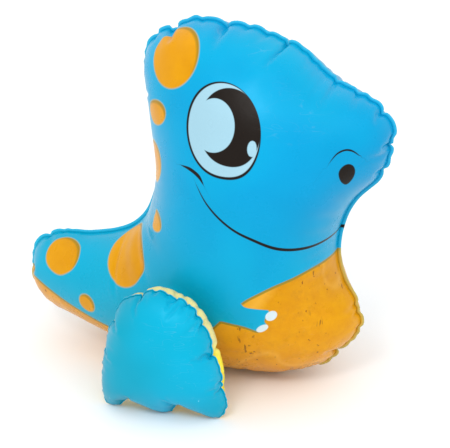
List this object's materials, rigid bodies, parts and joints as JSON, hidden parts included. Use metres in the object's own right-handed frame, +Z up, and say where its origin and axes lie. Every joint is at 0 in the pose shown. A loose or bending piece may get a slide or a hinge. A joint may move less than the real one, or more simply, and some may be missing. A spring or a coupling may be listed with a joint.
{
  "type": "inflatable toy dinosaur",
  "caption": "Inflatable vinyl toy dinosaur with a big head, a stubby tail, two side legs it stands on and a push-in air valve.",
  "frame": {"origin": "floor level under the middle of the toy's outer box", "axes": "+X towards the nose, +Y towards the toy's left side, +Z up"},
  "size_m": [0.3885, 0.3, 0.3619],
  "materials": {
    "printed_film": "glossy flexible vinyl film, blue with printed orange spots and belly",
    "blue_film": "glossy flexible vinyl film, printed blue",
    "yellow_film": "glossy flexible vinyl film, pale yellow",
    "clear_vinyl": "soft moulded translucent vinyl"
  },
  "bodies": {
    "torso": {"body_panel_right": "printed_film", "body_panel_left": "printed_film", "leg_right_port_ring": "clear_vinyl", "leg_left_port_ring": "clear_vinyl", "valve_flange": "clear_vinyl"},
    "leg_right": {"leg_right_outer_panel": "blue_film", "leg_right_inner_panel": "yellow_film"},
    "leg_left": {"leg_left_outer_panel": "blue_film", "leg_left_inner_panel": "yellow_film"},
    "stem": {"valve_stem": "clear_vinyl"},
    "flap": {"valve_flap": "clear_vinyl"},
    "plug": {"valve_plug": "clear_vinyl", "valve_tether": "clear_vinyl"}
  },
  "joints": [
    {"name": "leg_right_swing", "type": "hinge", "parent": "torso", "child": "leg_right", "pos_m": [0.009, -0.0897, 0.09], "axis": [0, 1, 0], "range_deg": [-8, 8], "stiffness_Nm_per_rad": 0.3},
    {"name": "leg_left_swing", "type": "hinge", "parent": "torso", "child": "leg_left", "pos_m": [0.009, 0.0897, 0.09], "axis": [0, 1, 0], "range_deg": [-8, 8], "stiffness_Nm_per_rad": 0.3},
    {"name": "valve_pull", "type": "slide", "parent": "torso", "child": "stem", "axis": [-0.3584, 0.9336, 0], "range_m": [0, 0.012]},
    {"name": "plug_pull", "type": "slide", "parent": "stem", "child": "plug", "axis": [-0.3584, 0.9336, 0], "range_m": [0, 0.007], "deforming": ["valve_tether"]},
    {"name": "flap_open", "type": "hinge", "parent": "stem", "child": "flap", "pos_m": [-0.07871, 0.05173, 0.0864], "axis": [-0.9336, -0.3584, 0], "range_deg": [0, 35], "stiffness_Nm_per_rad": 0.001}
  ]
}
